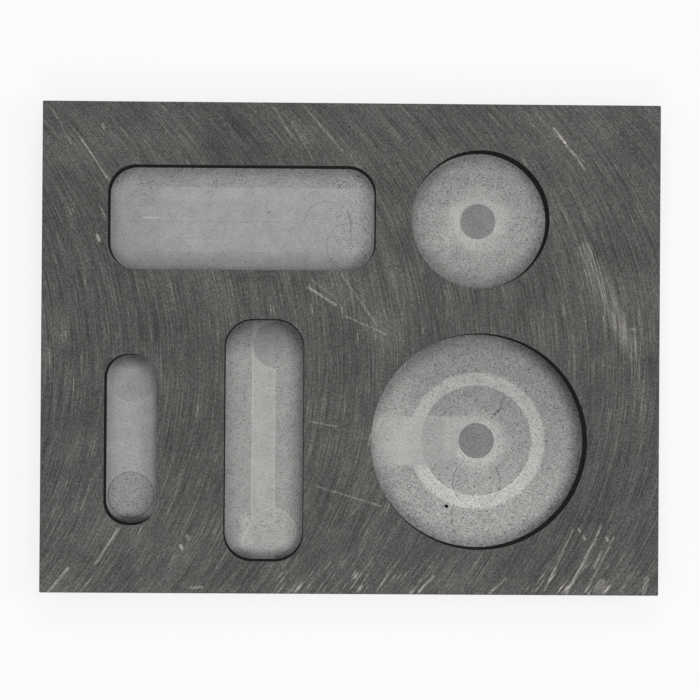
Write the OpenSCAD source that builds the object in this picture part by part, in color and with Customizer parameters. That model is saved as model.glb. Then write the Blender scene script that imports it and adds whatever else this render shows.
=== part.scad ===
// Ingot mould: one block of graphite with five open cavities milled into its top face,
// three for bars and two for rounds. Molten metal is poured in from above.
// Millimetres. The block stands on z = 0, centred on the origin, with its length along X.
// The cavities stand in two rows, and are set out from the block's back left corner.

/* [Block] */
// Length of the block, left to right
block_length = 126; // [118:1:160]
// Width of the block, front to back
block_width = 100; // [96:1:130]
// Height of the block, from its underside to its top face
block_height = 19; // [15:0.5:40]
// Bevel that breaks every outer edge
edge_break = 0.4; // [0.1:0.1:1.5]

/* [Cutting] */
// Draft of every cavity wall: how far it moves in for each millimetre of depth
wall_draft = 0.01; // [0:0.005:0.08]
// Depth of the bar cavities below the top face
bar_depth = 8; // [3:0.5:12]
// Depth of the round cavities below the top face
round_depth = 9.5; // [3:0.5:12]

/* [Rows] */
// Distance from the block's back side to the centre line of the back row
back_row_inset = 23.5; // [20:0.1:27]
// Distance from the back row's centre line to the front row's
row_pitch = 45.3; // [40:0.1:50]

/* [Wide bar cavity, back row] */
// Length of the cavity at its rim, left to right
wide_bar_length = 54.5; // [30:0.5:58]
// Width of the cavity at its rim, front to back
wide_bar_width = 21.3; // [14:0.1:28]
// Radius of the cavity's four corners at its rim
wide_bar_corner = 5.7; // [2:0.1:6.5]
// Land between the block's left side and the cavity
wide_bar_side_land = 13.4; // [4:0.1:16]

/* [Small round cavity, back row] */
// Diameter of the cavity at its rim
small_round_diameter = 28.2; // [16:0.1:34]

/* [Slot bar cavity, front row] */
// Width of the cavity at its rim, left to right
slot_bar_width = 10.7; // [10:0.1:16]
// Length of the cavity at its rim, front to back
slot_bar_length = 34.8; // [20:0.1:48]
// Radius of the cavity's four corners at its rim
slot_bar_corner = 4.9; // [2:0.1:4.9]
// Land between the block's left side and the cavity
slot_bar_side_land = 12.9; // [8:0.1:18]

/* [Long bar cavity, front row] */
// Width of the cavity at its rim, left to right
long_bar_width = 16.2; // [13:0.1:22]
// Length of the cavity at its rim, front to back
long_bar_length = 49.3; // [30:0.1:56]
// Radius of the cavity's four corners at its rim
long_bar_corner = 5.8; // [2:0.1:6]
// Land between the slot bar cavity and this one
long_bar_side_land = 13.7; // [9:0.1:20]

/* [Large round cavity, front row] */
// Diameter of the cavity at its rim
large_round_diameter = 44.1; // [36:0.1:50]
// Land between the long bar cavity and this one
large_round_side_land = 13.7; // [9:0.1:20]

/* [Hidden] */

// Facets in a full circle
$fn = 96;
// How far a cutter stands above the top face, so that each mouth is cut clean through
cutter_rise = 1;

// Sides of the block
left_side = -block_length / 2;
back_side = block_width / 2;

// Centre lines of the two rows
back_row_y = back_side - back_row_inset;
front_row_y = back_row_y - row_pitch;

// Centre of each cavity, left to right. The two rounds share one centre line.
wide_bar_x = left_side + wide_bar_side_land + wide_bar_length / 2;
slot_bar_x = left_side + slot_bar_side_land + slot_bar_width / 2;
long_bar_x = slot_bar_x + slot_bar_width / 2 + long_bar_side_land + long_bar_width / 2;
rounds_x = long_bar_x + long_bar_width / 2 + large_round_side_land + large_round_diameter / 2;

// A rectangle about the origin with its four corners cut off at 45 degrees
module bevelled_rectangle(length, width) {
    x = length / 2;
    y = width / 2;
    polygon([
        [x - edge_break, -y], [x, -y + edge_break],
        [x, y - edge_break], [x - edge_break, y],
        [-x + edge_break, y], [-x, y - edge_break],
        [-x, -y + edge_break], [-x + edge_break, -y]
    ]);
}

// The solid block. Three bevelled bars cross at right angles, and what they share
// is a block with all twelve of its edges broken.
module blank() {
    intersection() {
        linear_extrude(block_height)
            bevelled_rectangle(block_length, block_width);
        translate([0, 0, block_height / 2]) rotate([90, 0, 0])
            linear_extrude(block_width, center = true)
                bevelled_rectangle(block_length, block_height);
        translate([0, 0, block_height / 2]) rotate([90, 0, 90])
            linear_extrude(block_length, center = true)
                bevelled_rectangle(block_width, block_height);
    }
}

// The space of a round cavity, or of one rounded corner: a cone that narrows downwards.
// Its rim lies at z = 0.
module round_space(radius, depth) {
    translate([0, 0, -depth])
        cylinder(h = depth + cutter_rise,
                 r1 = radius - depth * wall_draft,
                 r2 = radius + cutter_rise * wall_draft);
}

// A straight run along X, as wide as "across" at the rim, whose sides lean in downwards
module straight_space(run, across, depth) {
    floor_half = across / 2 - depth * wall_draft;
    top_half = across / 2 + cutter_rise * wall_draft;
    rotate([90, 0, 90])
        linear_extrude(run, center = true)
            polygon([
                [-floor_half, -depth], [floor_half, -depth],
                [top_half, cutter_rise], [-top_half, cutter_rise]
            ]);
}

// The space of a bar cavity: a cone in each corner, and two straight runs that cross
// between them. Its rim lies at z = 0.
module bar_space(length, width, corner, depth) {
    run_x = length - 2 * corner;
    run_y = width - 2 * corner;
    for (side = [-1, 1], end = [-1, 1])
        translate([side * run_x / 2, end * run_y / 2, 0])
            round_space(corner, depth);
    straight_space(run_x, width, depth);
    rotate([0, 0, 90])
        straight_space(run_y, length, depth);
}

// The mould: the block with its five cavities taken out of the top face
module graphite_block() {
    color([0.32, 0.33, 0.33])
    difference() {
        blank();
        translate([wide_bar_x, back_row_y, block_height])
            bar_space(wide_bar_length, wide_bar_width, wide_bar_corner, bar_depth);
        translate([rounds_x, back_row_y, block_height])
            round_space(small_round_diameter / 2, round_depth);
        translate([slot_bar_x, front_row_y, block_height])
            bar_space(slot_bar_width, slot_bar_length, slot_bar_corner, bar_depth);
        translate([long_bar_x, front_row_y, block_height])
            bar_space(long_bar_width, long_bar_length, long_bar_corner, bar_depth);
        translate([rounds_x, front_row_y, block_height])
            round_space(large_round_diameter / 2, round_depth);
    }
}

graphite_block();
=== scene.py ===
# %% [markdown]
# # A graphite ingot mould
# This lesson dresses a block of graphite with five open cavities, as it looks in a
# photograph taken from straight above. The block is one machined solid, so there is one
# piece to make, and nearly all of its character is in how each face was cut: a fly cutter
# swept the top in long arcs, an end mill left pale floors with the outlines of its plunges,
# and the walls stayed almost black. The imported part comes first, because every size here is
# read from it or set against it.

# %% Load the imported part
import math
import random
from collections import namedtuple

import bmesh
import bpy
from mathutils import Matrix, Vector


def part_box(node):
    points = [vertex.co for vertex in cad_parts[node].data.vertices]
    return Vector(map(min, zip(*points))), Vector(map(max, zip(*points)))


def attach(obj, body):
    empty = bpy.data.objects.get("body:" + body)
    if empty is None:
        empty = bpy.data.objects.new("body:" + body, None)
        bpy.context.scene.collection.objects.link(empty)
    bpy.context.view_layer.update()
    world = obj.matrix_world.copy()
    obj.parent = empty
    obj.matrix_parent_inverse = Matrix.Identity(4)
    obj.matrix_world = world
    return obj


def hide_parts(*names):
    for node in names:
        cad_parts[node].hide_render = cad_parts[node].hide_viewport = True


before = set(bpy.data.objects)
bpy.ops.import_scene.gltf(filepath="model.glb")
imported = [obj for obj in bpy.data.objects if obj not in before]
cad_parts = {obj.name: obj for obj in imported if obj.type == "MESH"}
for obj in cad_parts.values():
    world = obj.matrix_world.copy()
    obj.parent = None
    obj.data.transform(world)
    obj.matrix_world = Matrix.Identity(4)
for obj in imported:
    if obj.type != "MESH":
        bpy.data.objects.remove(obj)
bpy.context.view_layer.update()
MM = 0.001
block_low, block_high = [Vector(corner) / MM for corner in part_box("graphite_block")]
block_size = block_high - block_low
top_height = block_high.z
print("block", [round(side, 2) for side in block_size], "mm")

# %% [markdown]
# ## The camera
# A camera could be turned by hand until the picture fits. Here the fit was worked out from
# the photograph: its scale on the top face, the point that it looks straight down on, found
# from how far each cavity floor is shifted against its rim, and the small turn of the
# block. Written as those three facts, the camera can be checked against any of them.

# %% Camera
PICTURE = 700                         # width and height of the photograph, in pixels
PX_PER_MM = 4.912                     # its scale on the top face
CAMERA_RISE = 624                     # from the top face up to the lens
CAMERA_FOOT = (-12.1, -5.9)           # the point right under the lens
CAMERA_AIM = (-0.18, -0.31)           # what the picture's centre shows
BLOCK_TURN = math.radians(0.39)       # the block lies this far clockwise in the picture
SENSOR = 36

scene = bpy.context.scene
camera_data = bpy.data.cameras.new("camera")
camera_data.sensor_width = SENSOR
camera_data.lens = PX_PER_MM * CAMERA_RISE / PICTURE * SENSOR
camera_data.clip_start = 0.01
camera = bpy.data.objects.new("camera", camera_data)
scene.collection.objects.link(camera)
scene.camera = camera

lens_place = Vector((*CAMERA_FOOT, top_height + CAMERA_RISE))
backwards = (lens_place - Vector((*CAMERA_AIM, top_height))).normalized()
picture_up = Vector((-math.sin(BLOCK_TURN), math.cos(BLOCK_TURN), 0))
rightwards = picture_up.cross(backwards).normalized()
upwards = backwards.cross(rightwards)
turned = Matrix((rightwards, upwards, backwards)).transposed().to_4x4()
camera.matrix_world = Matrix.Translation(lens_place * MM) @ turned
print("lens", round(camera_data.lens, 1), "mm")

# %% [markdown]
# ## Numbers that flow along wires
# Materials and geometry trees are sums of many small nodes. They could be added one call
# at a time, but a sum then takes a page. This small class wraps an output socket and gives
# it Python's operators, so that `1 - mask * 0.5` adds its own Math nodes. Every other node
# comes from its `node` method. The same class serves shader trees and geometry trees.

# %% A socket that can be used in sums
class Wire:
    """One output of a node tree. A wire without a socket is only used to add nodes."""

    def __init__(self, tree, socket=None):
        self.tree = tree
        self.socket = socket

    def node(self, kind, settings=None, inputs=None, output=0):
        """Adds a node: first its settings, then its inputs, by name or by number."""
        made = self.tree.nodes.new(kind)
        for name, value in (settings or {}).items():
            setattr(made, name, value)
        for key, value in (inputs or {}).items():
            named = [s for s in made.inputs if s.enabled and s.name == key]
            socket = named[0] if named else made.inputs[key]
            for each in value if isinstance(value, list) else [value]:
                if isinstance(each, Wire):
                    self.tree.links.new(each.socket, socket)
                else:
                    socket.default_value = each
        named = [s for s in made.outputs if s.enabled and s.name == output]
        found = named or [s for s in made.outputs if output in (0, s.name)] or [None]
        return Wire(self.tree, found[0])

    def math(self, operation, *values):
        return self.node("ShaderNodeMath", {"operation": operation}, dict(enumerate(values)))

    def vector(self, operation, *values, **more):
        """Vector maths on this wire. Distances come out as numbers."""
        output = "Value" if operation in ("DISTANCE", "DOT_PRODUCT", "LENGTH") else "Vector"
        inputs = dict(enumerate((self, *values)), **more)
        return self.node("ShaderNodeVectorMath", {"operation": operation}, inputs, output)

    def parts(self):
        """The X, Y and Z of a vector."""
        return [self.node("ShaderNodeSeparateXYZ", {}, {0: self}, axis) for axis in "XYZ"]

    def __add__(self, other):
        return self.math("ADD", self, other)

    def __radd__(self, other):
        return self.math("ADD", other, self)

    def __sub__(self, other):
        return self.math("SUBTRACT", self, other)

    def __rsub__(self, other):
        return self.math("SUBTRACT", other, self)

    def __mul__(self, other):
        return self.math("MULTIPLY", self, other)

    def __rmul__(self, other):
        return self.math("MULTIPLY", other, self)

    def __truediv__(self, other):
        return self.math("DIVIDE", self, other)

    def __pow__(self, other):
        return self.math("POWER", self, other)


def fade(value, start, end):
    """0 up to start, 1 from end on, an even curve between. Start may lie above end."""
    inputs = {"Value": value, "From Min": min(start, end), "From Max": max(start, end)}
    inputs.update({"To Min": float(start > end), "To Max": float(start < end)})
    return value.node("ShaderNodeMapRange", {"interpolation_type": "SMOOTHSTEP"}, inputs)


def between(value, low, high, soft=0.1):
    """1 from low to high, and 0 outside, with soft ends."""
    return fade(value, low - soft, low + soft) * fade(value, high + soft, high - soft)


def largest(first, *others):
    """The largest of these. The first is a wire, and the others are wires or numbers."""
    for other in others:
        first = first.math("MAXIMUM", first, other)
    return first


def joined(pen, x, y, z=0.0):
    """A vector from three numbers or wires."""
    return pen.node("ShaderNodeCombineXYZ", {}, {0: x, 1: y, 2: z})


def noise(place, size, detail=0.0):
    """Smooth noise from about -0.5 to 0.5, in blotches of about this size."""
    inputs = {"Vector": place, "Scale": 1 / size, "Detail": detail}
    return place.node("ShaderNodeTexNoise", {}, inputs) - 0.5


# %% [markdown]
# ## The light
# The photograph was lit like a catalogue picture: soft, from nearly overhead, with white
# all round. One big overhead lamp would light the cavity walls as well, and these are
# almost black in the photograph. Four smaller soft lamps at a steep angle leave each wall
# its shade and still cross on the floors. The left lamp is the weakest, so the right-hand
# walls are the darkest. The table is white to the camera, but it keeps the block's shadow.

# %% Lamps, white room and table
LAMP_RISE = 430
LAMP_REACH = 135
LAMP_SIZE = 120
LAMP_POWER = 0.44
LAMPS = {"left": (-1, 0, 0.55), "right": (1, 0, 1), "back": (0, 1, 1), "front": (0, -1, 1)}
ROOM_LIGHT = 0.30
TABLE_SIDE = 3000
TABLE_GAP = 0.05                      # the table lies this far under the block
TABLE_WHITE = 0.80                    # share of the table's white that no shadow darkens

for name, (x_side, y_side, share) in LAMPS.items():
    lamp_data = bpy.data.lights.new("lamp_" + name, "AREA")
    lamp_data.shape = "DISK"
    lamp_data.size = LAMP_SIZE * MM
    lamp_data.energy = LAMP_POWER * share
    lamp = bpy.data.objects.new("lamp_" + name, lamp_data)
    lamp.location = Vector((x_side * LAMP_REACH, y_side * LAMP_REACH, LAMP_RISE)) * MM
    lamp.rotation_euler = (-lamp.location).to_track_quat("-Z", "Y").to_euler()
    scene.collection.objects.link(lamp)


def plainly_seen(pen):
    """1 for each ray that should meet plain white: from the camera, a mirror or glass."""
    names = ("Is Camera Ray", "Is Glossy Ray", "Is Transmission Ray")
    return largest(*[pen.node("ShaderNodeLightPath", {}, {}, name) for name in names])


world = bpy.data.worlds.new("white_room")
world.use_nodes = True
world.node_tree.nodes.clear()
scene.world = world
pen = Wire(world.node_tree)
dim, bright = [pen.node("ShaderNodeBackground", {}, {"Strength": strength, "Color": (1, 1, 1, 1)})
               for strength in (ROOM_LIGHT, 1)]
room = pen.node("ShaderNodeMixShader", {}, {0: plainly_seen(pen), 1: dim, 2: bright})
pen.node("ShaderNodeOutputWorld", {}, {"Surface": room}, None)

table_material = bpy.data.materials.new("white_table")
table_material.use_nodes = True
table_material.node_tree.nodes.clear()
pen = Wire(table_material.node_tree)
matt = pen.node("ShaderNodeBsdfDiffuse", {}, {"Color": (0.9, 0.9, 0.9, 1)})
plain = pen.node("ShaderNodeEmission", {}, {"Strength": 1})
covered = pen.node("ShaderNodeMixShader", {}, {0: plainly_seen(pen) * TABLE_WHITE, 1: matt, 2: plain})
pen.node("ShaderNodeOutputMaterial", {}, {"Surface": covered}, None)

half_table = TABLE_SIDE / 2 * MM
table_mesh = bpy.data.meshes.new("table")
corners = [(x, y, -TABLE_GAP * MM) for x, y in
           ((-half_table, -half_table), (half_table, -half_table),
            (half_table, half_table), (-half_table, half_table))]
table_mesh.from_pydata(corners, [], [(0, 1, 2, 3)])
table_mesh.materials.append(table_material)
table = bpy.data.objects.new("table", table_mesh)
scene.collection.objects.link(table)
scene.view_settings.view_transform = "Standard"
print("lamps", len(LAMPS), "of", LAMP_POWER, "W")

# %% [markdown]
# ## The outlines
# The block and its cavities could be boxes and cylinders, cut out of each other and
# bevelled. But they all have one thing in common: a closed outline seen from above, which
# a single small profile follows downwards. So Python only draws the outlines, as rings of
# points, and notes on each point what the profile needs there: which way the open air
# lies, how deep the wall goes, how much of the edge is broken. The sizes are the part's.

# %% Sizes of the block and its cavities
Cavity = namedtuple("Cavity", "name x y length width corner depth")

BAR_DEPTH = 8
ROUND_DEPTH = 9.5
WALL_DRAFT = 0.01                     # a wall leans out by this share of its height
BACK_ROW_Y = block_high.y - 23.5
FRONT_ROW_Y = BACK_ROW_Y - 45.3
SLOT_X = block_low.x + 12.9 + 10.7 / 2
LONG_X = SLOT_X + 10.7 / 2 + 13.7 + 16.2 / 2
ROUNDS_X = LONG_X + 16.2 / 2 + 13.7 + 44.1 / 2

CAVITIES = (
    Cavity("wide_bar", block_low.x + 13.4 + 54.5 / 2, BACK_ROW_Y, 54.5, 21.3, 5.7, BAR_DEPTH),
    Cavity("small_round", ROUNDS_X, BACK_ROW_Y, 28.2, 28.2, 14.1, ROUND_DEPTH),
    Cavity("slot_bar", SLOT_X, FRONT_ROW_Y, 10.7, 34.8, 4.9, BAR_DEPTH),
    Cavity("long_bar", LONG_X, FRONT_ROW_Y, 16.2, 49.3, 5.8, BAR_DEPTH),
    Cavity("large_round", ROUNDS_X, FRONT_ROW_Y, 44.1, 44.1, 22.05, ROUND_DEPTH),
)
for cavity in CAVITIES:
    print(cavity.name, "centre", round(cavity.x, 2), round(cavity.y, 2))

# %% [markdown]
# An outline is walked anticlockwise, corner by corner. Each corner is an arc, and the
# straight that follows it is cut into even steps, so that the wear along an edge has
# points to move. A circle is the same thing with no straights.

# %% Outlines as rings of points
STEP = 0.3                            # from one point of a ring to the next
CHIP_CLEARANCE = 2.0                  # edges chip no nearer to a corner than this


def outline(length, width, corner):
    """Points round a rectangle with round corners: place, direction outwards, chipping."""
    turns = max(3, round(corner * math.pi / 2 / STEP))
    points = []
    for x_side, y_side, start in ((1, 1, 0), (-1, 1, 90), (-1, -1, 180), (1, -1, 270)):
        pivot = Vector((x_side * (length / 2 - corner), y_side * (width / 2 - corner)))
        for turn in range(turns + 1):
            angle = math.radians(start + 90 * turn / turns)
            outwards = Vector((math.cos(angle), math.sin(angle)))
            points.append((pivot + outwards * corner, outwards, 0.0))
        run = (width if start in (90, 270) else length) - 2 * corner
        steps = round(run / STEP)
        onwards = Vector((-outwards.y, outwards.x)) * run / max(steps, 1)
        first = points[-1][0]
        for i in range(1, steps):
            room = min(i, steps - i) * STEP / CHIP_CLEARANCE
            points.append((first + onwards * i, outwards, min(room, 1.0)))
        if steps == 0:
            points.pop()
    return points


# What the profile needs to know on each point, besides its place and the way to open air
RING_NOTES = ("mouth", "depth", "edge", "turn", "lean", "chips", "starts_on", "ends_on",
              "edge_finish", "wall_finish", "floor_finish")
ring_places, ring_edges, ring_air = [], [], []
ring_notes = {note: [] for note in RING_NOTES}


def add_ring(centre, points, inwards, **notes):
    """Adds one closed ring. Inwards is True where the open air lies inside it."""
    first = len(ring_places)
    for i, (point, outwards, chips) in enumerate(points):
        ring_places.append((*((Vector(centre) + point) * MM), 0.0))
        ring_edges.append((first + i, first + (i + 1) % len(points)))
        ring_air.append((*(-outwards if inwards else outwards), 0.0))
        for note in RING_NOTES:
            ring_notes[note].append(chips * notes[note] if note == "chips" else notes[note])


# %% [markdown]
# Each flat face of the mould is a level that rings start or end on: the underside, the top
# face, the cavity floors, and the small ends inside a floor. The numbers of the levels say
# later which rings border which face. The finishes are numbered too, by their name.

# %% The block, the cavities and the bosses of the two rounds
UNDERSIDE, TOP_FACE, FLOORS, SMALL_ENDS = range(4)
FINISHES = ["fly_cut_face", "worn_edge", "sawn_side", "ground_underside",
            "cavity_rim", "milled_wall", "pore"]
FINISHES += [cavity.name + "_floor" for cavity in CAVITIES]
finish_number = {name: number for number, name in enumerate(FINISHES)}

BLOCK_CORNER = 0.25                   # stays above both edges, or their rings would cross
OUTER_EDGE = 0.12                     # how much of the block's top edge is worn away
BOTTOM_EDGE = 0.22
RIM_EDGE = 0.05                       # and of each cavity's rim
FOOT_ROUND = 0.15                     # where a cavity's wall meets its floor
BOSS_RADIUS = 3.63
BOSS_RISE = 0.04
BOSS_EDGE = 0.01

add_ring((0, 0), outline(block_size.x, block_size.y, BLOCK_CORNER), inwards=False,
         mouth=top_height, depth=block_size.z, edge=OUTER_EDGE, turn=-BOTTOM_EDGE, lean=0,
         chips=1, starts_on=TOP_FACE, ends_on=UNDERSIDE,
         edge_finish=finish_number["worn_edge"], wall_finish=finish_number["sawn_side"],
         floor_finish=finish_number["ground_underside"])
for cavity in CAVITIES:
    floor = finish_number[cavity.name + "_floor"]
    rim = outline(cavity.length, cavity.width, cavity.corner)
    add_ring((cavity.x, cavity.y), rim, inwards=True,
             mouth=top_height, depth=cavity.depth, edge=RIM_EDGE, turn=FOOT_ROUND,
             lean=WALL_DRAFT, chips=0.6, starts_on=TOP_FACE, ends_on=FLOORS,
             edge_finish=finish_number["cavity_rim"], wall_finish=finish_number["milled_wall"],
             floor_finish=floor)
    if "round" in cavity.name:
        boss = outline(2 * BOSS_RADIUS, 2 * BOSS_RADIUS, BOSS_RADIUS)
        add_ring((cavity.x, cavity.y), boss, inwards=False,
                 mouth=top_height - cavity.depth + BOSS_RISE, depth=BOSS_RISE,
                 edge=BOSS_EDGE, turn=BOSS_EDGE, lean=0, chips=0, starts_on=SMALL_ENDS,
                 ends_on=FLOORS, edge_finish=floor, wall_finish=floor, floor_finish=floor)
print("rings of", len(ring_places), "points")

# %% [markdown]
# Graphite is pressed from powder, so a cut face opens small pores. A pore is a tiny cavity
# with a ragged outline, and the same profile can follow it down: it needs no cutting, only
# one more ring. One pore is large enough to be seen plainly in the photograph, low in the
# large round cavity, and four more are small dots there. The others are strewn at random.

# %% Pores
PORES_SEED = 5
PORE_SIDES = 9
TOP_PORES = 70
FLOOR_PORES = 26
PORE_RADII = (0.05, 0.13)
PORE_CLEARANCE = 1.2                  # from a pore to the nearest edge and the next pore
# Where each pore seen in the photograph lies from the large round's centre, and its radius
SEEN_PORES = ((-6.1, -13.6, 0.33), (10.9, 14.8, 0.13), (7.1, -17.3, 0.14),
              (-9.9, -17.2, 0.13), (-15.6, 6.9, 0.12))
chance = random.Random(PORES_SEED)


def add_pore(x, y, radius, height, level):
    """One ragged pore in a flat face at this height."""
    points = []
    for i in range(PORE_SIDES):
        angle = 2 * math.pi * i / PORE_SIDES
        outwards = Vector((math.cos(angle), math.sin(angle)))
        points.append((outwards * radius * chance.uniform(0.75, 1.2), outwards, 0.0))
    add_ring((x, y), points, inwards=True, mouth=height, depth=radius * 1.2,
             edge=radius * 0.12, turn=radius * 0.45, lean=0.05, chips=0, starts_on=level,
             ends_on=SMALL_ENDS, edge_finish=finish_number["pore"],
             wall_finish=finish_number["pore"], floor_finish=finish_number["pore"])


def gap_to(cavity, x, y):
    """How far a point lies outside a cavity's rim. It is below 0 inside."""
    reach_x = abs(x - cavity.x) - (cavity.length / 2 - cavity.corner)
    reach_y = abs(y - cavity.y) - (cavity.width / 2 - cavity.corner)
    outside = math.hypot(max(reach_x, 0), max(reach_y, 0))
    return outside + min(max(reach_x, reach_y), 0) - cavity.corner


def clear_of(taken, x, y):
    return all(math.hypot(x - other_x, y - other_y) > PORE_CLEARANCE for other_x, other_y in taken)


large_round = CAVITIES[-1]
taken = [(large_round.x + x, large_round.y + y) for x, y, radius in SEEN_PORES]
for (x, y), (_, _, radius) in zip(taken, SEEN_PORES):
    add_pore(x, y, radius, top_height - ROUND_DEPTH, FLOORS)
wanted = {TOP_FACE: TOP_PORES, FLOORS: FLOOR_PORES}
while any(wanted.values()):
    x = chance.uniform(block_low.x + PORE_CLEARANCE, block_high.x - PORE_CLEARANCE)
    y = chance.uniform(block_low.y + PORE_CLEARANCE, block_high.y - PORE_CLEARANCE)
    radius = chance.uniform(*PORE_RADII)
    nearest = min(CAVITIES, key=lambda cavity: gap_to(cavity, x, y))
    gap = gap_to(nearest, x, y)
    off_middle = math.hypot(x - nearest.x, y - nearest.y)
    level = TOP_FACE if gap > 0 else FLOORS
    if abs(gap) < PORE_CLEARANCE or not clear_of(taken, x, y) or not wanted[level]:
        continue
    if level == FLOORS and abs(off_middle - BOSS_RADIUS) < PORE_CLEARANCE:
        continue
    if level == FLOORS and off_middle < BOSS_RADIUS and "round" in nearest.name:
        continue
    height = top_height if level == TOP_FACE else top_height - nearest.depth
    add_pore(x, y, radius, height, level)
    taken.append((x, y))
    wanted[level] -= 1
print("pores", len(taken))

# %% [markdown]
# ## The profile, swept by a geometry tree
# Every row of the profile is one step of the same kind: extrude the newest ring, move it
# to its place, and mark the faces that the step made with their finish. A bevel modifier
# would round all edges alike. Here noise makes each edge a little uneven and breaks small
# chips out of it, which is what the edges of graphite look like after some use. The flat
# faces are then filled in, level by level, between the rings that border them.

# %% Steps of the sweeping tree
MERGE = 0.000001
EDGE_ROWS = (0, 22.5, 45, 67.5, 90)   # the round of an edge, in degrees
FOOT_ROWS = (0, 30, 60, 90)           # and the round at the foot of a wall
UNEVEN_SCALE = 0.45                   # how often the wear changes in a millimetre
CHIP_SCALE = 0.55
CHIP_FROM, CHIP_FULL = 0.66, 0.76     # the noise breaks chips out from here on


def named(pen, name, kind="FLOAT"):
    """A value that was noted on the rings."""
    return pen.node("GeometryNodeInputNamedAttribute", {"data_type": kind}, {"Name": name})


def noted(geometry, name, value, domain="FACE", kind="FLOAT", where=True):
    """The geometry with a value stored on it."""
    return geometry.node("GeometryNodeStoreNamedAttribute", {"data_type": kind, "domain": domain},
                         {"Geometry": geometry, "Selection": where, "Name": name, "Value": value})


def equals(value, number):
    return value.math("COMPARE", value, number, 0.5)


def profile_rows(pen, wear):
    """The steps of the profile: offset towards open air, depth, and the strip's finish."""
    depth, edge, turn, lean = [named(pen, note) for note in ("depth", "edge", "turn", "lean")]
    edge = edge * wear
    rows = []
    for degrees in EDGE_ROWS:
        angle = math.radians(degrees)
        rows.append((edge * (math.sin(angle) - 1), edge * (1 - math.cos(angle)), "edge_finish"))
    curl = pen.math("ABSOLUTE", turn)
    for degrees in FOOT_ROWS:
        angle = math.radians(degrees)
        down = depth + curl * (math.sin(angle) - 1)
        finish = "floor_finish" if degrees else "wall_finish"
        rows.append((lean * down + turn * (1 - math.cos(angle)), down, finish))
    return rows


def cap(pen, starts, ends, level):
    """Fills one level between the rings that start or end on it."""
    begun = starts.node("GeometryNodeSeparateGeometry", {"domain": "POINT"},
                        {"Geometry": starts, "Selection": equals(named(pen, "starts_on"), level)})
    ended = ends.node("GeometryNodeSeparateGeometry", {"domain": "POINT"},
                      {"Geometry": ends, "Selection": equals(named(pen, "ends_on"), level)})
    borders = pen.node("GeometryNodeJoinGeometry", {}, {"Geometry": [begun, ended]})
    curves = pen.node("GeometryNodeMeshToCurve", {}, {"Mesh": borders})
    filled = pen.node("GeometryNodeFillCurve", {"mode": "TRIANGLES"}, {"Curve": curves})

    def from_nearest(rings, value, kind):
        """The value of the nearest point of these rings, as seen from above."""
        place = pen.node("GeometryNodeInputPosition")
        from_above = place.vector("MULTIPLY", (1, 1, 0))
        flat = pen.node("GeometryNodeSetPosition", {}, {"Geometry": rings, "Position": from_above})
        index = pen.node("GeometryNodeSampleNearest", {"domain": "POINT"},
                         {"Geometry": flat, "Sample Position": from_above})
        return pen.node("GeometryNodeSampleIndex", {"data_type": kind, "domain": "POINT"},
                        {"Geometry": rings, "Value": value, "Index": index})

    place = from_nearest(borders, pen.node("GeometryNodeInputPosition"), "FLOAT_VECTOR")
    raised = pen.node("GeometryNodeSetPosition", {}, {"Geometry": filled, "Position": place})
    if level == TOP_FACE:
        finish = finish_number["fly_cut_face"]
    else:
        inside = ended if level == FLOORS else borders
        finish = from_nearest(inside, named(pen, "floor_finish"), "FLOAT")
    flat_shaded = pen.node("GeometryNodeSetShadeSmooth", {"domain": "FACE"},
                           {"Geometry": raised, "Shade Smooth": False})
    return noted(flat_shaded, "finish", finish)


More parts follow.
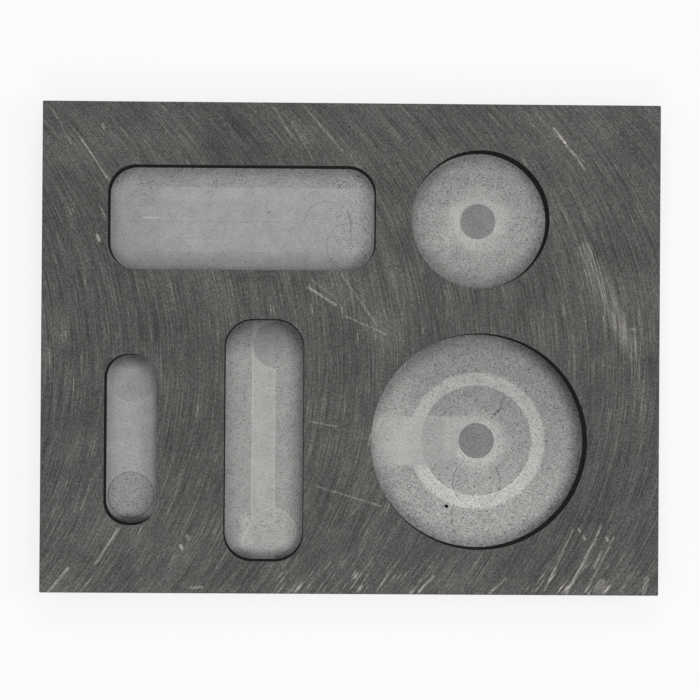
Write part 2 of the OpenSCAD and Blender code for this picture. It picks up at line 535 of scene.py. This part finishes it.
# %% The sweeping tree
def sweeping_tree(materials):
    """A tree that turns rings into the finished mould."""
    tree = bpy.data.node_groups.new("mould_from_rings", "GeometryNodeTree")
    inputs = (("Rings", "Geometry"), ("Unevenness", "Float"), ("Chip size", "Float"),
              ("Seed", "Float"))
    sockets = {name: tree.interface.new_socket(name, in_out="INPUT", socket_type="NodeSocket" + kind)
               for name, kind in inputs}
    tree.interface.new_socket("Mould", in_out="OUTPUT", socket_type="NodeSocketGeometry")
    pen = Wire(tree)
    rings, unevenness, chip_size, seed = [
        pen.node("NodeGroupInput", {}, {}, name) for name, kind in inputs]

    here = pen.node("GeometryNodeInputPosition").vector("SCALE", Scale=1 / MM)
    uneven = pen.node("ShaderNodeTexNoise", {"noise_dimensions": "4D"},
                      {"Vector": here, "W": seed, "Scale": UNEVEN_SCALE, "Detail": 3}) - 0.5
    chipping = pen.node("ShaderNodeTexNoise", {"noise_dimensions": "4D"},
                        {"Vector": here, "W": seed + 10, "Scale": CHIP_SCALE, "Detail": 1})
    chipped = fade(chipping, CHIP_FROM, CHIP_FULL) * named(pen, "chips") * chip_size
    wear = uneven * unevenness + 1 + chipped
    noted_rings = noted(rings, "wear", wear, "POINT")
    noted_rings = noted(noted_rings, "plan", pen.node("GeometryNodeInputPosition"), "POINT",
                        "FLOAT_VECTOR")

    wear, mouth = named(pen, "wear"), named(pen, "mouth")
    plan, air = named(pen, "plan", "FLOAT_VECTOR"), named(pen, "air", "FLOAT_VECTOR")

    def on_row(mesh, ring, offset, down):
        """The mesh with this ring moved to its row of the profile."""
        across = air.vector("SCALE", Scale=offset * MM)
        place = plan.vector("ADD", across).vector("ADD", joined(pen, 0, 0, (mouth - down) * MM))
        return pen.node("GeometryNodeSetPosition", {},
                        {"Geometry": mesh, "Selection": ring, "Position": place})

    (offset, down, _), *later_rows = profile_rows(pen, wear)
    newest = True
    starts = mesh = on_row(noted_rings, newest, offset, down)
    for offset, down, finish in later_rows:
        extruded = pen.node("GeometryNodeExtrudeMesh", {"mode": "EDGES"},
                            {"Mesh": mesh, "Selection": newest, "Offset Scale": 0})
        outputs = extruded.socket.node.outputs
        newest, side = Wire(tree, outputs["Top"]), Wire(tree, outputs["Side"])
        mesh = noted(extruded, "finish", named(pen, finish), where=side)
        mesh = on_row(mesh, newest, offset, down)
    ends = pen.node("GeometryNodeSeparateGeometry", {"domain": "EDGE"},
                    {"Geometry": mesh, "Selection": newest})

    strips = pen.node("GeometryNodeSetShadeSmooth", {"domain": "FACE"},
                      {"Geometry": mesh, "Shade Smooth": True})
    caps = [cap(pen, starts, ends, level)
            for level in (UNDERSIDE, TOP_FACE, FLOORS, SMALL_ENDS)]
    whole = pen.node("GeometryNodeJoinGeometry", {}, {"Geometry": [strips, *caps]})
    whole = pen.node("GeometryNodeMergeByDistance", {}, {"Geometry": whole, "Distance": MERGE})
    whole = pen.node("GeometryNodeRealizeInstances", {}, {"Geometry": whole})
    for number, name in enumerate(FINISHES):
        chosen = equals(named(pen, "finish"), number)
        whole = pen.node("GeometryNodeSetMaterial", {},
                         {"Geometry": whole, "Selection": chosen, "Material": materials[name]})
    pen.node("NodeGroupOutput", {}, {0: whole}, None)
    return tree, {name: socket.identifier for name, socket in sockets.items()}


# %% [markdown]
# ## How a finish is written
# A finish could be painted on an image. Here each one is a recipe in nodes: it takes a
# place on the block in millimetres and gives three things back, the tone, the roughness
# and the height of the surface in millimetres. Tones are written as the eye reads them,
# from 0 for black to 1 for white, and turned into reflected light at the end. Heights feed
# a Bump node, whose distance is set so that they keep their true scale.

# %% A finish from its recipe
DARKEST = 0.02
EYE_POWER = 2.2                       # from a tone as the eye reads it to reflected light


def finish_material(name, recipe, tint, sheen):
    """A material whose recipe gives its tone, roughness and height at a place in mm."""
    material = bpy.data.materials.new(name)
    material.use_nodes = True
    material.node_tree.nodes.clear()
    pen = Wire(material.node_tree)
    place = pen.node("ShaderNodeTexCoord", {}, {}, "Object").vector("SCALE", Scale=1 / MM)
    tone, rough, height = recipe(place)
    light = largest(tone, DARKEST) ** EYE_POWER
    colour = pen.node("ShaderNodeMix", {"data_type": "RGBA"},
                      {"Factor": light, "A": (0, 0, 0, 1), "B": (*tint, 1)}, "Result")
    bump = pen.node("ShaderNodeBump", {}, {"Height": height, "Strength": 1, "Distance": MM})
    shader = pen.node("ShaderNodeBsdfPrincipled", {},
                      {"Base Color": colour, "Roughness": rough,
                       "Specular IOR Level": sheen, "Normal": bump})
    pen.node("ShaderNodeOutputMaterial", {}, {"Surface": shader}, None)
    return material


# %% [markdown]
# ## Marks that recipes share
# Most marks of a tool are one of four simple things: noise drawn out into lines, a disc, the
# line round a circle, or a straight stroke. They could be painted on an image. Here each is
# worked out from the place on the block, the last three as a distance that becomes a soft
# mask, so they stay sharp at any size of picture.

# %% Streaks, discs, circle lines and strokes
def streaks(across, along, width, length, detail=0.0):
    """Noise drawn out into lines of this width and length."""
    return noise(joined(across, across / width, along / length), 1, detail)


def reach(place, x, y):
    """How far a place lies from this point, on a face whose height is zero."""
    return place.vector("DISTANCE", (x, y, 0))


def disc(place, x, y, radius, soft=0.12):
    """1 inside a circle, and 0 outside it."""
    return fade(reach(place, x, y), radius + soft, radius - soft)


def circle_line(place, x, y, radius, half=0.12):
    """A line round a circle, of this half width."""
    return between(reach(place, x, y), radius - half, radius + half, 0.08)


def stroke(place, start, end, half=0.12, soft=0.15):
    """A straight stroke between two points, with soft sides."""
    run = Vector((*end, 0)) - Vector((*start, 0))
    from_start = place.vector("SUBTRACT", (*start, 0))
    share = from_start.vector("DOT_PRODUCT", run / run.length_squared)
    share = share.math("MINIMUM", largest(share, 0), 1)
    nearest = place.node("ShaderNodeVectorMath", {"operation": "SCALE"}, {0: run, "Scale": share})
    return fade(from_start.vector("DISTANCE", nearest), half + soft, half)


# %% [markdown]
# ## The top face
# A fly cutter is a single tooth on a wide arm. It leaves arcs that are all parts of one
# circle, shifted along as the table feeds. So each arc has one number, the place where it
# crosses the block's middle line, and that number is worked out from x and y. Noise that is
# fine across this number and long along it draws the arcs, and a sine wave draws the even
# ripple of the feed. Over them lie blotches, grain, bright hairs that are crowded along the
# front edge, and the scratches that can be told apart in the photograph.

# %% The scratches
# Each is from a point, to a point, its half width, and how much paler it is
SCRATCHES = (
    ((41.1, 45.2), (43.4, 42.3), 0.15, 0.18), ((43.4, 42.3), (47.6, 36.8), 0.12, 0.15),
    ((39.8, -49.0), (45.6, -36.5), 0.15, 0.10), ((48.2, -49.3), (53.9, -38.1), 0.15, 0.12),
    ((14.2, -49.3), (17.2, -46.2), 0.20, 0.12), ((28.4, -49.8), (31.9, -46.6), 0.20, 0.12),
    ((-16.0, 49.0), (-12.3, 43.0), 0.12, 0.08), ((-12.3, 46.0), (-7.7, 37.8), 0.12, 0.08),
    ((-10.2, 49.8), (-2.1, 40.3), 0.12, 0.08), ((-61.1, 48.4), (-57.1, 41.3), 0.12, 0.07),
    ((50.3, -48.8), (51.4, -47.2), 0.60, 0.12), ((60.1, -49.3), (60.6, -46.6), 0.40, 0.10),
    ((43.6, 41.6), (47.3, 38.4), 0.10, 0.09), ((-55.3, 42.6), (-49.2, 33.5), 0.12, 0.14),
    ((-51.8, 22.6), (-51.3, 21.6), 0.25, 0.18), ((-50.9, 45.3), (-50.5, 44.6), 0.20, 0.14),
    ((-8.8, 12.4), (-3.2, 8.9), 0.20, 0.14), ((-8.1, 14.0), (-3.0, 10.0), 0.12, 0.07),
    ((-2.0, 15.1), (5.2, 4.9), 0.12, 0.09), ((-0.9, 6.5), (7.2, 2.9), 0.12, 0.09),
    ((-8.5, -14.9), (-2.8, -15.9), 0.12, 0.09), ((-6.8, -28.1), (6.5, -32.1), 0.12, 0.09),
    ((57.2, 4.3), (58.2, 4.3), 0.12, 0.11), ((44.2, -49.8), (50.1, -38.6), 0.20, 0.16),
    ((50.1, -38.6), (51.3, -35.5), 0.15, 0.11), ((51.3, -41.2), (49.9, -44.3), 0.20, 0.14),
    ((46.6, -36.4), (47.0, -37.0), 0.20, 0.14), ((47.6, -37.9), (48.0, -38.5), 0.20, 0.14),
    ((52.3, -38.2), (52.7, -38.8), 0.20, 0.14), ((-51.5, -44.1), (-47.1, -37.0), 0.20, 0.14),
    ((-61.1, -49.8), (-57.2, -45.0), 0.20, 0.14), ((-33.1, -38.3), (-32.7, -38.9), 0.25, 0.16),
    ((-34.4, -40.3), (-34.0, -40.9), 0.25, 0.16), ((-32.0, -48.9), (-30.0, -48.7), 0.20, 0.14),
)
# The wide pale sweep at the right, from point to point, and the hazy patch in the middle
SWEEP = ((47.8, 20.5), (52.5, 10.1), (55.1, 5.2), (57.2, 0.6), (58.7, -5.5), (60.5, -15.0))
HAZE = ((-2, 13), (8, 3))
print("scratches", len(SCRATCHES))

# %% The fly-cut face
ARM_RADIUS = 74
ARM_MIDDLE_Y = -3.7
FEED = 0.8                            # how far the table moved in each turn of the cutter
LAND_TONE = 0.293
FRONT_START, FRONT_FULL = -41, -48    # where the bright hairs of the front edge set in


def arc_number(x, y):
    """Which of the fly cutter's arcs passes through here."""
    rise = y - ARM_MIDDLE_Y
    return x - (ARM_RADIUS ** 2 - rise * rise) ** 0.5


def scratches(flat, arc, y, hair):
    """How much paler the scratches, the sweep and the haze make the face."""
    scratched = sum(stroke(flat, start, end, half) * paler for start, end, half, paler in SCRATCHES)
    ragged = fade(streaks(arc, y, 0.3, 2, 2), -0.30, 0.1) * 1.5
    swept = largest(*[stroke(flat, start, end, 0.5, 2.0) for start, end in zip(SWEEP, SWEEP[1:])])
    haze = stroke(flat, *HAZE, 1, 6)
    return haze * 0.055 + scratched * ragged + swept * fade(y, -18, 3) * (hair * 0.35 + 0.09)


def fly_cut(place):
    x, y, _ = place.parts()
    arc = arc_number(x, y)
    hair = streaks(arc, y, 0.24, 8)
    line = streaks(arc, y, 0.7, 40, 1)
    band = streaks(arc, y, 3, 60, 1)
    smear = streaks(arc + 11, y, 1.0, 6, 2)
    turn = arc * (2 * math.pi / FEED) + noise(place, 4, 1) * 5
    ripple = turn.math("SINE", turn) * fade(streaks(arc, y, 4, 12, 1), -0.2, 0.2)
    cloud = noise(place, 12, 3)
    grain = noise(place, 0.30, 1)
    spark = fade(streaks(arc + 37, y, 0.24, 5), 0.17, 0.34) * fade(smear, -0.05, 0.15)
    front = fade(y, FRONT_START, FRONT_FULL)
    scuff = fade(streaks(arc + 53, y, 0.4, 2.5), 0.02, 0.25) * fade(smear, -0.08, 0.1) * front
    scuff = scuff * (between(x, -15, 16, 3) + between(x, 38, 56, 3) + 0.4)
    tone = (LAND_TONE + hair * 0.20 + ripple * 0.019 + line * 0.13 + band * 0.08 + smear * 0.08
            + cloud * 0.18 + grain * 0.33 + spark * 0.26 + scuff * 0.22 + front * 0.01
            + scratches(joined(place, x, y), arc, y, hair))
    rough = 0.55 + hair * 0.2 + cloud * 0.1
    height = hair * 0.015 + line * 0.01 + grain * 0.01
    return tone, rough, height


# %% [markdown]
# ## The milled floors
# The end mill left the floors much paler than the top: it smeared the graphite to a silky
# sheen. Every plunge and every pass stays visible as a disc, a band or a thin arc of
# another tone. The marks could be one long list. Here each cavity has a recipe of its own,
# in millimetres from its centre. They share one speckle, whose strength they choose, and a
# painted shade that darkens the floor along the foot of every wall.

# %% The speckle of a milled floor
GRAIN_GAIN = 10.0                     # makes grain of strength 1 vary by about 1
PEPPER_GAIN = 4.5                     # how dark the sparse dark dots are beside the grain
WALL_SHADE_REACH = 1.8                      # how far the painted shade reaches out from the foot of a wall
WALL_SHADE_DEPTH = 0.04                     # how much the painted shade darkens the floor there
FLOOR_ROUGH = 0.5


def from_centre(cavity, place):
    """The place as seen from the middle of a cavity's floor."""
    floor = (cavity.x, cavity.y, top_height - cavity.depth)
    return place.vector("SUBTRACT", floor)


def by_the_wall(cavity, place):
    """1 at the foot of the cavity's wall, where the painted shade is deepest, and 0 from its reach
    inwards.
    """
    x, y, _ = from_centre(cavity, place).parts()
    across = x.math("ABSOLUTE", x) - (cavity.length / 2 - cavity.corner)
    along = y.math("ABSOLUTE", y) - (cavity.width / 2 - cavity.corner)
    in_corner = joined(x, largest(across, 0), largest(along, 0))
    out = in_corner.vector("LENGTH") + x.math("MINIMUM", largest(across, along), 0)
    return fade(out, cavity.corner - WALL_SHADE_REACH, cavity.corner)


def milled(cavity, place, tone, speckle):
    """A milled floor of this tone, with specks that stray from it by about this much."""
    grain = noise(place, 0.26, 1) * GRAIN_GAIN
    pepper = fade(noise(place, 0.32), -0.10, -0.26) * PEPPER_GAIN
    cloud = noise(place, 3, 2)
    # Painted shade: the floor is darkened along the foot of each wall, where the walls shade it
    painted_wall_shade = by_the_wall(cavity, place) * WALL_SHADE_DEPTH
    # The 1 makes up for the dark dots, so that the floor's mean stays at its tone
    lit = tone + cloud * 0.11 - painted_wall_shade + (grain - pepper + 1) * speckle
    return lit, FLOOR_ROUGH + cloud * 0.2, grain * 0.002


# %% [markdown]
# The wide bar was milled in long passes: a pale middle, a darker and more speckled band at
# the back, and a seam where two passes meet. Two plunges left their rims at the right, with
# a fine crack between them.

# %% The wide bar's floor
PALE_HALF = 6.6                       # half the width of the pale middle
PALE_START = -17.3                    # where it begins, at the left
WIDE_PLUNGES = ((22.2, -5.4), (17.5, -1.0))
CRACK = ((21.6, 1.9), (22.3, -0.6), (22.3, -4.7), (21.5, -5.8))
CRACK_HALVES = (0.12, 0.12, 0.08)


def wide_bar_floor(place):
    wide_bar = CAVITIES[0]
    spot = from_centre(wide_bar, place)
    x, y, _ = spot.parts()
    ragged = noise(place, 0.6, 2)
    broken = fade(ragged, -0.18, 0.0)
    started = fade(x, PALE_START, PALE_START + 0.5)
    pale = between(y + ragged * 0.5, -PALE_HALF, PALE_HALF) * started
    brightest = between(y, 3.9, PALE_HALF) * started
    back_band = fade(y + ragged * 0.8, 6.5, 6.9)
    front_band = fade(y, -6.5, -6.8)
    right_end = fade(x, 17, 21)
    left_plunge = disc(spot, -21.0, 5.0, 4.9, 0.3)
    rims = (circle_line(spot, *WIDE_PLUNGES[0], 4.85) * 0.07
            + circle_line(spot, *WIDE_PLUNGES[1], 4.85) * fade(y, -3.5, -0.5) * 0.06)
    crack = sum(stroke(spot, *ends) for ends in zip(CRACK, CRACK[1:], CRACK_HALVES))
    crack = crack * fade(ragged, -0.12, 0.02)
    seam = between(y + ragged * 0.5, -0.55, -0.40, 0.1) * fade(x, 20, 16) * fade(ragged, -0.1, 0.1)
    ridge = between(y + ragged * 0.3, 0.15, 0.35, 0.08) * fade(x, 10, -4) * fade(ragged, -0.05, 0.1)
    dash = stroke(spot, (-20.4, 0.3), (-17.3, 0.3), 0.08, 0.12)
    tone = (0.562 + pale * 0.019 + brightest * 0.012 - back_band * 0.024 - front_band * 0.002
            - right_end * 0.006 - left_plunge * 0.006 - rims * broken - crack * broken * 0.065
            - seam * 0.07 + ridge * 0.03 + dash * 0.09)
    speckle = 0.014 + back_band * 0.012 + right_end * 0.014 + left_plunge * 0.004
    return milled(wide_bar, place, tone, speckle)


# %% [markdown]
# In the small round the cutter spiralled outwards from a low boss. The floor is palest in a
# halo round the boss, and a few pale patches lie beside it.

# %% The small round's floor
BOSS_SOFT = 0.08                      # half the width of the boss's soft rim


def boss_of(far):
    """1 on the low boss in the middle of a round, and 0 beside it."""
    return fade(far, BOSS_RADIUS + BOSS_SOFT, BOSS_RADIUS - BOSS_SOFT)


def small_round_floor(place):
    small_round = CAVITIES[1]
    spot = from_centre(small_round, place)
    x, y, _ = spot.parts()
    far = reach(spot, 0, 0)
    boss = boss_of(far)
    halo = fade(far, 8.5, 4.2)
    swirl = streaks(y, x, 1.2, 5, 1)
    patches = (between(x, -6.0, -3.7, 0.3) * between(y, -2.9, 3.0, 0.3) * 0.6
               + stroke(spot, (-10.5, -5.0), (-7.0, -3.6), 0.6, 1.6)
               + stroke(spot, (4.5, 1.6), (6.8, 1.2), 0.8, 1.2) * 0.5)
    tone = (0.558 - fade(y, -2, 12) * 0.032 + halo * 0.082 + patches * 0.035
            + swirl * 0.07 * (1 - boss) - boss * 0.166)
    speckle = 0.034 - halo * 0.014
    return milled(small_round, place, tone, speckle)


# %% [markdown]
# The slot is hardly wider than the cutter, so its two plunges are discs that nearly fill
# its ends. The front one is darker and more speckled, and has a thin dark rim.

# %% The slot bar's floor
SLOT_PLUNGE = (-0.2, -11.6)


def slot_bar_floor(place):
    slot_bar = CAVITIES[2]
    spot = from_centre(slot_bar, place)
    _, y, _ = spot.parts()
    low = disc(spot, *SLOT_PLUNGE, 4.7)
    low_rim = circle_line(spot, *SLOT_PLUNGE, 4.72, 0.10)
    high = disc(spot, 0.1, 12.3, 4.7, 0.4)
    # Painted shade: the floor darkens towards both ends, where the end walls shade it
    ends = fade(y, 14, 17.6) * 0.18 + fade(y, -15.0, -17.2) * 0.30
    tone = 0.595 - low * 0.070 - high * 0.042 - low_rim * 0.13 - ends
    speckle = 0.015 + low * 0.016
    return milled(slot_bar, place, tone, speckle)


# %% [markdown]
# The long bar took three passes side by side. The middle one is the palest, with a thin
# white line at its left side, and it ends on a plunge at each end.

# %% The long bar's floor
LONG_PLUNGE = (2.0, -18.9)


def long_bar_floor(place):
    long_bar = CAVITIES[3]
    spot = from_centre(long_bar, place)
    x, y, _ = spot.parts()
    high = disc(spot, 2.3, 19.5, 4.75)
    low = disc(spot, *LONG_PLUNGE, 4.7)
    low_rim = circle_line(spot, *LONG_PLUNGE, 4.7, 0.08)
    left_band = fade(x, -2.4, -2.6)
    right_band = fade(x, 2.2, 2.4) * (1 - low)
    white_line = between(x, -2.55, -2.40, 0.06) * between(y, -16.5, 20.0, 0.5)
    pale_line = between(x, 2.05, 2.25, 0.06) * between(y, -16.0, 14.5, 0.5)
    scoured = stroke(spot, (-3.8, -16.5), (-3.6, -21.5), 0.4, 1.4)
    # Painted shade: the floor darkens towards both ends and towards the right wall, where the walls
    # shade it
    ends = fade(y, 15, 25) * 0.16 + fade(y, -22, -24.5) * 0.16 + fade(x, 5, 8) * 0.06
    tone = (0.632 - left_band * 0.062 - right_band * 0.066 - high * 0.070 * (1 - right_band)
            - high * right_band * 0.02 - low * 0.018 + white_line * 0.10 + pale_line * 0.03
            + low_rim * 0.05 + scoured * 0.07 - ends)
    speckle = 0.015 + (left_band + right_band) * 0.009 + (low + scoured) * 0.010
    return milled(long_bar, place, tone, speckle)


# %% [markdown]
# The large round has most marks of all: a low boss with a halo, a pale ring, and a track
# that the cutter ran in from a plunge at the left rim, over everything but the boss. Below
# the boss lie the rims of another plunge, and a few fine dark lines.

# %% The large round's floor
RING_INSIDE, RING_OUTSIDE = 11.4, 14.1
TRACK_TOP, TRACK_BOTTOM = 4.95, -5.1
TRACK_START, TRACK_END = -16.0, -8.5  # the middles of its two round ends
LOW_PLUNGE = (0.1, -8.5)
# Fine dark lines: from, to, half width and how dark they are
DARK_LINES = (
    ((3.3, 4.8), (4.7, 6.4), 0.12, 0.22), ((4.7, 6.4), (5.8, 9.2), 0.10, 0.09),
    ((-5.0, -14.3), (-5.0, -16.8), 0.12, 0.09), ((-5.0, -16.8), (-4.0, -19.7), 0.12, 0.08),
)


def track_of(spot, x, y):
    """1 on the track that the cutter ran in, and 0 beside it."""
    straight = between(y, TRACK_BOTTOM, TRACK_TOP) * between(x, TRACK_START, TRACK_END)
    inner = between(y, 0, TRACK_TOP) * between(x, TRACK_END, -1.5, 0.8)
    return largest(straight, disc(spot, TRACK_START, 0, 5.05), disc(spot, TRACK_END, 0, 5.0), inner)


def large_round_floor(place):
    spot = from_centre(large_round, place)
    x, y, _ = spot.parts()
    far = reach(spot, 0, 0)
    boss = boss_of(far)
    halo = fade(far, 7.5, 4.0)
    ring = fade(far, RING_INSIDE - 0.1, RING_INSIDE + 0.1)
    ring = ring * fade(far, RING_OUTSIDE + 0.4, RING_OUTSIDE - 0.4)
    ring_edge = between(far, 11.35, 11.55, 0.08) * fade(y, 2, -8)
    arcs = (circle_line(spot, *LOW_PLUNGE, 4.9, 0.15) * (1 - between(x, -3, 3, 0.8)) * 0.11
            + circle_line(spot, TRACK_START, 0, 5.05, 0.08) * fade(x, -17, -18) * 0.05)
    lines = sum(stroke(spot, start, end, half) * dark for start, end, half, dark in DARK_LINES)
    broken = fade(noise(place, 0.6, 2), -0.18, 0.0)
    by_rim = between(y, -6, 5, 1.5) * fade(x, -14, -18)
    # Painted light: the back left of the floor is painted paler, where the light falls brighter
    back_left_light = fade(x, -8, -18) * fade(y, -4, 4)
    right_shade = fade(far, 18.5, 22) * fade(x, 2, 16)
    # Painted shade: the floor is painted darker towards the back, where shade falls
    plain = (0.497 + fade(y, 13, -18) * 0.095 + by_rim * 0.085 + back_left_light * 0.080
             + ring * 0.118 + ring_edge * 0.05 + halo * 0.105 - (arcs + lines) * broken
             - right_shade * 0.14)
    track = track_of(spot, x, y) * (1 - boss)
    dark_part = track * fade(far, RING_INSIDE + 0.1, RING_INSIDE - 0.1) * fade(x, -6.4, -7.4)
    worn = 0.650 - fade(x, -15, -9) * 0.012 - dark_part * 0.056 - fade(x, -7.5, -6.5) * 0.022
    tone = (plain + track * (worn - plain)) * (1 - boss) + boss * 0.445
    speckle = 0.033 - track * 0.014 - boss * 0.009 + fade(y, -4, -14) * 0.010 - ring * 0.004
    return milled(large_round, place, tone, speckle)


# %% [markdown]
# ## Walls, sides and edges
# The photograph looks straight down, so the outer sides and the underside are guesses: a
# sawn plate, ground flat below. The cavity walls show as thin black crescents.

# %% Walls, sides and edges
def milled_wall(place):
    x, y, z = place.parts()
    flute = noise(joined(x, x, y, z * 0.05), 0.35, 1)
    # The wall's tone is darker than the top face's: partly its own finish, partly painted shade, as
    # the walls lie in shade
    return 0.22 + flute * 0.10, 0.6 + flute * 0.1, flute * 0.01


def sawn_side(place):
    x, y, z = place.parts()
    kerf = noise(joined(x, x * 0.1, y * 0.1, z + (x + y) * 0.03), 0.3, 2)
    grain = noise(place, 0.22, 1)
    cloud = noise(place, 7, 2)
    return 0.30 + kerf * 0.12 + cloud * 0.08 + grain * 0.15, 0.6 + kerf * 0.1, kerf * 0.02


def ground_underside(place):
    x, y, _ = place.parts()
    line = streaks(y, x, 0.3, 12, 2)
    grain = noise(place, 0.22, 1)
    cloud = noise(place, 9, 2)
    return 0.30 + line * 0.14 + cloud * 0.10 + grain * 0.15, 0.55 + line * 0.1, line * 0.01


def worn_edge(place):
    grain = noise(place, 0.3, 2)
    return 0.31 + grain * 0.25, 0.5 + grain * 0.1, grain * 0.01


def cavity_rim(place):
    grain = noise(place, 0.3, 2)
    return 0.27 + grain * 0.2, 0.5 + grain * 0.1, grain * 0.01


def pore_inside(place):
    grain = noise(place, 0.1)
    return 0.10 + grain * 0.05, 0.9 + grain * 0.1, grain * 0.01


RECIPES = {"fly_cut_face": fly_cut, "worn_edge": worn_edge, "sawn_side": sawn_side,
           "ground_underside": ground_underside, "cavity_rim": cavity_rim,
           "milled_wall": milled_wall, "pore": pore_inside,
           "wide_bar_floor": wide_bar_floor, "small_round_floor": small_round_floor,
           "slot_bar_floor": slot_bar_floor, "long_bar_floor": long_bar_floor,
           "large_round_floor": large_round_floor}
DULL = ("milled_wall", "pore")
FACE_SHEEN = 0.15
FLOOR_TINT = (1, 0.985, 0.96)
FACE_TINT = (1, 0.965, 0.915)
NEUTRAL = ("wide_bar_floor", "slot_bar_floor")
materials = {}
for name in FINISHES:
    tint = FLOOR_TINT if name.endswith("_floor") else FACE_TINT
    if name in NEUTRAL:
        tint = (1, 1, 1)
    sheen = 0 if name in DULL else FACE_SHEEN
    materials[name] = finish_material(name, RECIPES[name], tint, sheen)
print("materials", len(materials))

# %% [markdown]
# ## The finished block
# The rings become a mesh of edges with their notes as attributes, and the tree sweeps it.
# Its result is kept as a plain mesh, with normals turned outwards once all seams are
# merged. The volume is printed, because a face that is missing or turned would show there
# at once.

# %% Sweep the rings
WEAR = {"Unevenness": 1.1, "Chip size": 2.2, "Seed": 3.0}

ring_mesh = bpy.data.meshes.new("mould_rings")
ring_mesh.from_pydata(ring_places, ring_edges, [])
for note, values in ring_notes.items():
    ring_mesh.attributes.new(note, "FLOAT", "POINT").data.foreach_set("value", values)
air = ring_mesh.attributes.new("air", "FLOAT_VECTOR", "POINT")
air.data.foreach_set("vector", [part for direction in ring_air for part in direction])
mould = bpy.data.objects.new("mould_block", ring_mesh)
scene.collection.objects.link(mould)

tree, identifiers = sweeping_tree(materials)
sweep = mould.modifiers.new("sweep", "NODES")
sweep.node_group = tree
for name, value in WEAR.items():
    sweep[identifiers[name]] = value
swept = mould.evaluated_get(bpy.context.evaluated_depsgraph_get())
block_mesh = bpy.data.meshes.new_from_object(swept)
mould.modifiers.clear()
mould.data = block_mesh

shell = bmesh.new()
shell.from_mesh(block_mesh)
bmesh.ops.recalc_face_normals(shell, faces=shell.faces)
open_edges = sum(not edge.is_manifold for edge in shell.edges)
volume = shell.calc_volume(signed=True) / MM ** 3 / 1000
shell.to_mesh(block_mesh)
shell.free()
print("faces", len(block_mesh.polygons), "open edges", open_edges, "volume", round(volume, 2), "cm3")
print("materials on it", [material.name for material in block_mesh.materials if material])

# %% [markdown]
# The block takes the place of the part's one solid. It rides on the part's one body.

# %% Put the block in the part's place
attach(mould, "root")
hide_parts("graphite_block")
